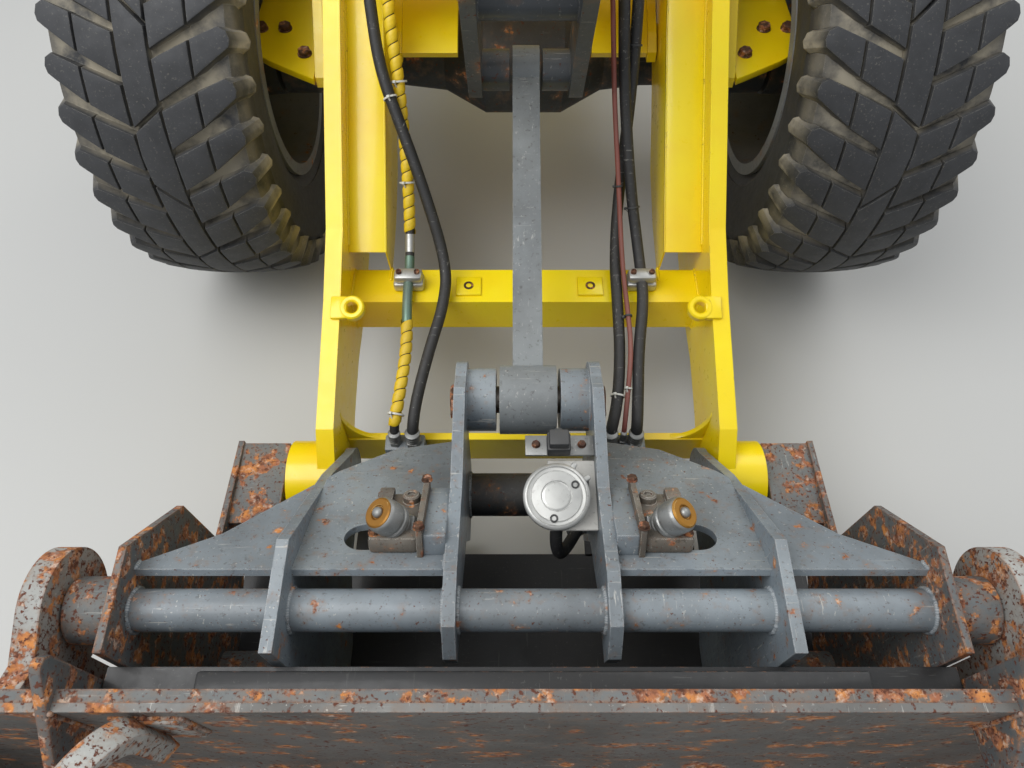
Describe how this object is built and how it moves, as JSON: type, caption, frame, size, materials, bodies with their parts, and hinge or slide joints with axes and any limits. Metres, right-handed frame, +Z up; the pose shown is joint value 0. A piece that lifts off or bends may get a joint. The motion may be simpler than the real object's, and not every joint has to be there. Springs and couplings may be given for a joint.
{
  "type": "wheel loader front end with bucket",
  "caption": "Front half of an articulated loader: frame, axle, wheels, lift arms with tilt linkage, quick hitch and bucket, for lifting and tipping loose material.",
  "frame": {"origin": "on the floor under the middle of the part's length, in its middle plane", "axes": "+X to the machine's left, +Y to its rear, +Z up"},
  "size_m": [2.36, 3.895, 1.66],
  "materials": {
    "yellow_paint": "bright yellow machine paint, chipped and dusty",
    "black_paint": "satin black paint, dusty",
    "dark_grey_paint": "dark grey paint, scuffed",
    "light_grey_paint": "light grey paint, scuffed",
    "worn_grey_paint": "blue-grey paint, worn through to orange rust",
    "rim_grey_paint": "grey wheel paint, dusty",
    "tyre_rubber": "dull rubber with pale dust",
    "bare_steel": "bare steel with rust and grease",
    "chrome_rod": "hard chromed rod",
    "worn_steel": "worn steel, part rusted"
  },
  "bodies": {
    "front_frame": {"frame_side_plates": "yellow_paint", "frame_cross_plates": "yellow_paint", "axle_seats": "yellow_paint", "hinge_plates": "yellow_paint", "tilt_base_lugs": "yellow_paint", "frame_pins": "bare_steel", "axle_housing": "black_paint"},
    "wheel_left": {"tyre_left": "tyre_rubber", "rim_left": "rim_grey_paint", "hub_left": "black_paint"},
    "wheel_right": {"tyre_right": "tyre_rubber", "rim_right": "rim_grey_paint", "hub_right": "black_paint"},
    "lift_frame": {"lift_arm_left": "yellow_paint", "lift_arm_right": "yellow_paint", "box_cross_tube": "yellow_paint", "upper_cross_tube": "yellow_paint", "rocker_brackets": "yellow_paint", "lever_pin": "bare_steel", "foot_cross_plate": "yellow_paint"},
    "lever": {"tilt_lever": "dark_grey_paint"},
    "link": {"tilt_link": "light_grey_paint"},
    "hitch": {"hitch_ears": "worn_grey_paint", "hitch_pins": "bare_steel", "hitch_tube": "worn_grey_paint", "hitch_low_tube": "dark_grey_paint", "hitch_inner_plates": "worn_grey_paint", "hitch_outer_plates": "worn_grey_paint", "hitch_web": "worn_grey_paint", "hitch_collars": "worn_grey_paint", "pin_carriers": "worn_grey_paint", "lock_housings": "worn_grey_paint", "lock_pins": "bare_steel", "bucket_shell": "worn_steel", "bucket_sides": "worn_steel", "bucket_edge": "worn_steel", "bucket_hooks": "worn_steel", "bucket_top_bar": "worn_steel"},
    "lift_barrel_left": {"lift_barrel_left": "black_paint"},
    "lift_rod_left": {"lift_rod_left": "chrome_rod"},
    "lift_barrel_right": {"lift_barrel_right": "black_paint"},
    "lift_rod_right": {"lift_rod_right": "chrome_rod"},
    "tilt_barrel": {"tilt_barrel": "black_paint"},
    "tilt_rod": {"tilt_rod": "chrome_rod"}
  },
  "joints": [
    {"name": "wheel_left_spin", "type": "hinge", "parent": "front_frame", "child": "wheel_left", "pos_m": [0.895, 0.6925, 0.655], "axis": [1, 0, 0], "continuous": true},
    {"name": "wheel_right_spin", "type": "hinge", "parent": "front_frame", "child": "wheel_right", "pos_m": [-0.895, 0.6925, 0.655], "axis": [1, 0, 0], "continuous": true},
    {"name": "lift", "type": "hinge", "parent": "front_frame", "child": "lift_frame", "pos_m": [0, 1.1125, 1.5], "axis": [-1, 0, 0], "range_deg": [0, 80]},
    {"name": "tilt", "type": "hinge", "parent": "lift_frame", "child": "hitch", "pos_m": [0, -0.5615, 0.315], "axis": [-1, 0, 0], "range_deg": [-105, 30]},
    {"name": "lever_swing", "type": "hinge", "parent": "lift_frame", "child": "lever", "pos_m": [0, 0.1265, 1.289], "axis": [-1, 0, 0], "range_deg": [-14, 47.5]},
    {"name": "link_swing", "type": "hinge", "parent": "hitch", "child": "link", "pos_m": [0, -0.5175, 0.63], "axis": [-1, 0, 0], "range_deg": [-27, 92.5]},
    {"name": "tilt_barrel_swing", "type": "hinge", "parent": "front_frame", "child": "tilt_barrel", "pos_m": [0, 1.2925, 1.325], "axis": [-1, 0, 0], "range_deg": [0, 66.5]},
    {"name": "tilt_rod_slide", "type": "slide", "parent": "tilt_barrel", "child": "tilt_rod", "axis": [0, -0.9783, 0.207], "range_m": [-0.25, 0.08]},
    {"name": "lift_barrel_left_swing", "type": "hinge", "parent": "front_frame", "child": "lift_barrel_left", "pos_m": [0.415, 1.1125, 1.02], "axis": [-1, 0, 0], "range_deg": [0, 75]},
    {"name": "lift_rod_left_slide", "type": "slide", "parent": "lift_barrel_left", "child": "lift_rod_left", "axis": [0, -0.9067, -0.4217], "range_m": [0, 0.61]},
    {"name": "lift_barrel_right_swing", "type": "hinge", "parent": "front_frame", "child": "lift_barrel_right", "pos_m": [-0.415, 1.1125, 1.02], "axis": [-1, 0, 0], "range_deg": [0, 75]},
    {"name": "lift_rod_right_slide", "type": "slide", "parent": "lift_barrel_right", "child": "lift_rod_right", "axis": [0, -0.9067, -0.4217], "range_m": [0, 0.61]}
  ],
  "couplings": [
    {"joint": "lever_swing", "follows": "tilt", "ratio": -0.446},
    {"joint": "link_swing", "follows": "tilt", "ratio": -0.872},
    {"joint": "tilt_barrel_swing", "follows": "lift", "ratio": 0.8254},
    {"joint": "tilt_rod_slide", "follows": "tilt", "m_per_rad": 0.1318},
    {"joint": "lift_barrel_left_swing", "follows": "lift", "ratio": 0.926},
    {"joint": "lift_rod_left_slide", "follows": "lift", "m_per_rad": 0.4326},
    {"joint": "lift_barrel_right_swing", "follows": "lift", "ratio": 0.926},
    {"joint": "lift_rod_right_slide", "follows": "lift", "m_per_rad": 0.4326}
  ]
}
